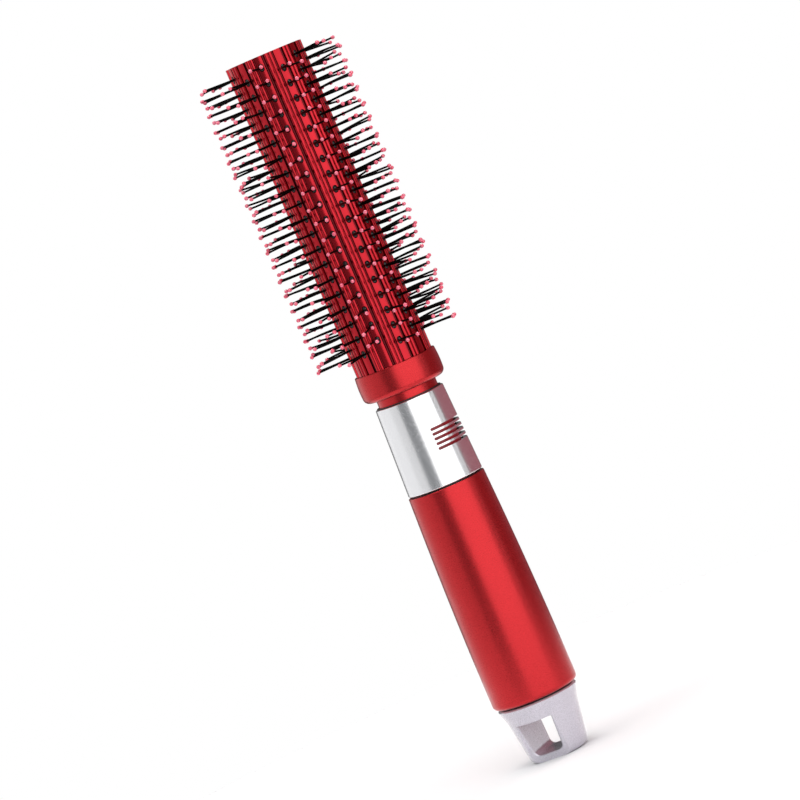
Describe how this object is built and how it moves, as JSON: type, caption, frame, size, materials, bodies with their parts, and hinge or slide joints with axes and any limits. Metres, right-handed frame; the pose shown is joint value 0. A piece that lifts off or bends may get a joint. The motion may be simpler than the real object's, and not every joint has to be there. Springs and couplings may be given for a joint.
{
  "type": "round hair brush",
  "caption": "Round styling brush: fluted red metal barrel with rows of twin ball-tipped nylon pins, collar, slotted silver sleeve, satin red handle and a silver cap with a hanging slot.",
  "frame": {"origin": "centre of the end cap's flat bottom face", "axes": "+Z along the brush's axis from the cap to the barrel's tip; the hanging slot goes through along Y; the sleeve's slits are centred on +X"},
  "size_m": [0.047, 0.047, 0.2382],
  "materials": {
    "anodised_red": "glossy red anodised",
    "red_satin": "satin metallic red lacquer",
    "red_core": "glossy moulded red",
    "satin_chrome": "satin chrome",
    "black_nylon": "glossy moulded nylon",
    "pink_bead": "translucent glossy resin",
    "pearl_silver": "pearl silver",
    "black_core": "moulded"
  },
  "bodies": {
    "root": {"ball_tips_01": "pink_bead", "ball_tips_02": "pink_bead", "ball_tips_03": "pink_bead", "ball_tips_04": "pink_bead", "ball_tips_05": "pink_bead", "ball_tips_06": "pink_bead", "ball_tips_07": "pink_bead", "ball_tips_08": "pink_bead", "ball_tips_09": "pink_bead", "ball_tips_10": "pink_bead", "ball_tips_11": "pink_bead", "ball_tips_12": "pink_bead", "barrel_core": "black_core", "barrel_tube": "anodised_red", "base_collar": "red_satin", "bristle_strip_01": "black_nylon", "bristle_strip_02": "black_nylon", "bristle_strip_03": "black_nylon", "bristle_strip_04": "black_nylon", "bristle_strip_05": "black_nylon", "bristle_strip_06": "black_nylon", "bristle_strip_07": "black_nylon", "bristle_strip_08": "black_nylon", "bristle_strip_09": "black_nylon", "bristle_strip_10": "black_nylon", "bristle_strip_11": "black_nylon", "bristle_strip_12": "black_nylon", "end_cap": "pearl_silver", "handle_core": "black_core", "handle_shell": "red_satin", "neck_washer": "black_core", "silver_sleeve": "satin_chrome", "sleeve_core": "red_core", "tip_plug": "red_core"}
  },
  "joints": []
}
